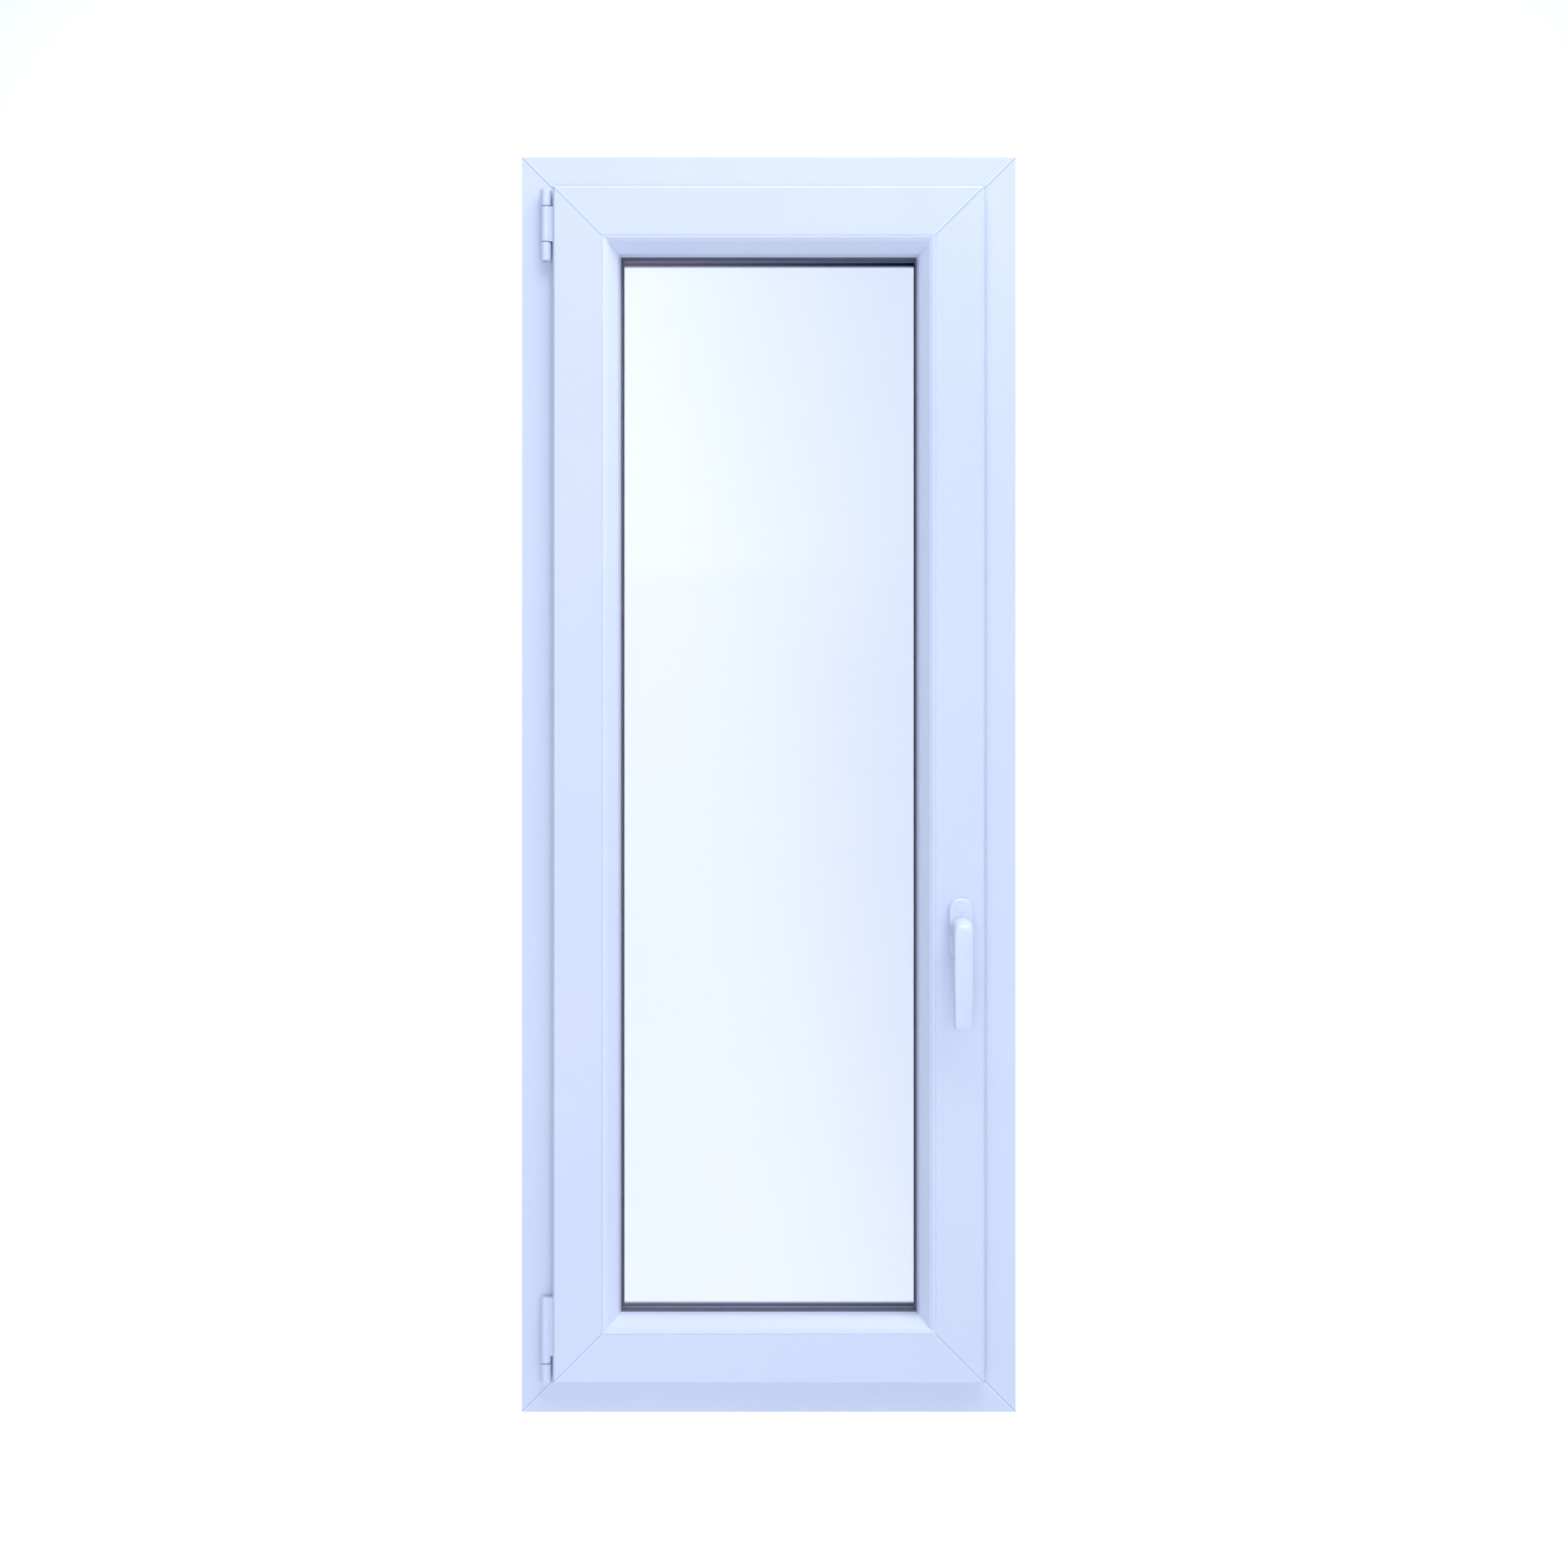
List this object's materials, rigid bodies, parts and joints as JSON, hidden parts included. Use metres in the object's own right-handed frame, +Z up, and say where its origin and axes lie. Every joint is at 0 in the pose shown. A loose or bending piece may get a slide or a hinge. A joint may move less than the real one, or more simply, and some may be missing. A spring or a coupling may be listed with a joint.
{
  "type": "casement window",
  "caption": "Narrow white plastic tilt-and-turn casement window with triple glazing, barrel hinges on the left and a lever handle on the right.",
  "frame": {"origin": "middle of the frame's underside, half way through the frame's depth", "axes": "+X right seen from the room, +Y towards the outside, +Z up"},
  "size_m": [0.565, 0.152, 1.435],
  "materials": {
    "window_profile": "satin",
    "glazing_bead": "satin",
    "glass": "polished",
    "seal_rubber": "matt",
    "spacer_bar": "matt",
    "sealant": "matt",
    "glazing_block": "moulded",
    "handle_coating": "satin powder coat",
    "hinge_coating": "satin powder coat",
    "zinc_casting": "as cast, plated",
    "plated_steel": "zinc plated"
  },
  "bodies": {
    "frame": {"frame_jamb_left": "window_profile", "frame_jamb_right": "window_profile", "frame_head": "window_profile", "frame_sill": "window_profile", "frame_steel_jambs": "plated_steel", "frame_steel_rails": "plated_steel", "frame_gasket": "seal_rubber", "drain_caps": "window_profile", "lock_strikers": "zinc_casting", "tilt_striker": "zinc_casting", "striker_screws": "plated_steel", "pivot_bracket": "hinge_coating", "bracket_screws": "plated_steel", "stay_hinge_bracket": "hinge_coating", "stay_hinge_pin": "plated_steel"},
    "pivot_link": {"pivot_link": "plated_steel"},
    "handle": {"handle_lever": "handle_coating", "handle_spindle": "plated_steel", "drive_gear": "plated_steel"},
    "lock_rod": {"lock_rod": "plated_steel", "locking_cams": "plated_steel"},
    "top_rod": {"top_rod": "plated_steel", "top_cam": "plated_steel"},
    "bottom_rod": {"bottom_rod": "plated_steel", "bottom_cam": "plated_steel"},
    "stay_arm": {"stay_arm": "hinge_coating", "stay_slider": "plated_steel"},
    "sash": {"corner_drives": "zinc_casting", "corner_hinge_band": "hinge_coating", "corner_hinge_screws": "plated_steel", "edge_sealant": "sealant", "faceplate_bottom": "plated_steel", "faceplate_lock_side": "plated_steel", "faceplate_screws": "plated_steel", "faceplate_top": "plated_steel", "gear_case": "zinc_casting", "glazing_bead_bottom": "glazing_bead", "glazing_bead_left": "glazing_bead", "glazing_bead_right": "glazing_bead", "glazing_bead_top": "glazing_bead", "glazing_blocks": "glazing_block", "glazing_gasket_inner": "seal_rubber", "glazing_gasket_outer": "seal_rubber", "handle_base": "zinc_casting", "handle_cover": "handle_coating", "handle_screws": "plated_steel", "pane_inner": "glass", "pane_middle": "glass", "pane_outer": "glass", "sash_bottom_rail": "window_profile", "sash_gasket": "seal_rubber", "sash_hinge_stile": "window_profile", "sash_lock_stile": "window_profile", "sash_steel_rails": "plated_steel", "sash_steel_stiles": "plated_steel", "sash_top_rail": "window_profile", "spacer_inner": "spacer_bar", "spacer_middle": "spacer_bar", "tilt_pin": "plated_steel"}
  },
  "joints": [
    {"name": "sash_turn", "type": "hinge", "parent": "frame", "child": "pivot_link", "pos_m": [-0.254, -0.049, 0.0575], "axis": [0, 0, -1], "range_deg": [0, 90]},
    {"name": "sash_tilt", "type": "hinge", "parent": "pivot_link", "child": "sash", "pos_m": [-0.254, -0.049, 0.062], "axis": [1, 0, 0], "range_deg": [0, 6]},
    {"name": "stay_swing", "type": "hinge", "parent": "pivot_link", "child": "stay_arm", "pos_m": [-0.254, -0.049, 1.36], "axis": [0, 0, -1], "range_deg": [0, 27.7]},
    {"name": "handle_turn", "type": "hinge", "parent": "sash", "child": "handle", "pos_m": [0.218, -0.069, 0.554], "axis": [0, 1, 0], "range_deg": [0, 180]},
    {"name": "lock_rod_slide", "type": "slide", "parent": "sash", "child": "lock_rod", "axis": [0, 0, 1], "range_m": [0, 0.02043]},
    {"name": "top_rod_slide", "type": "slide", "parent": "sash", "child": "top_rod", "axis": [-1, 0, 0], "range_m": [0, 0.02043]},
    {"name": "bottom_rod_slide", "type": "slide", "parent": "sash", "child": "bottom_rod", "axis": [1, 0, 0], "range_m": [0, 0.02043]}
  ],
  "couplings": [
    {"joint": "stay_swing", "follows": "sash_tilt", "ratio": 4.6},
    {"joint": "lock_rod_slide", "follows": "handle_turn", "m_per_rad": 0.0065},
    {"joint": "top_rod_slide", "follows": "handle_turn", "m_per_rad": 0.0065},
    {"joint": "bottom_rod_slide", "follows": "handle_turn", "m_per_rad": 0.0065}
  ]
}
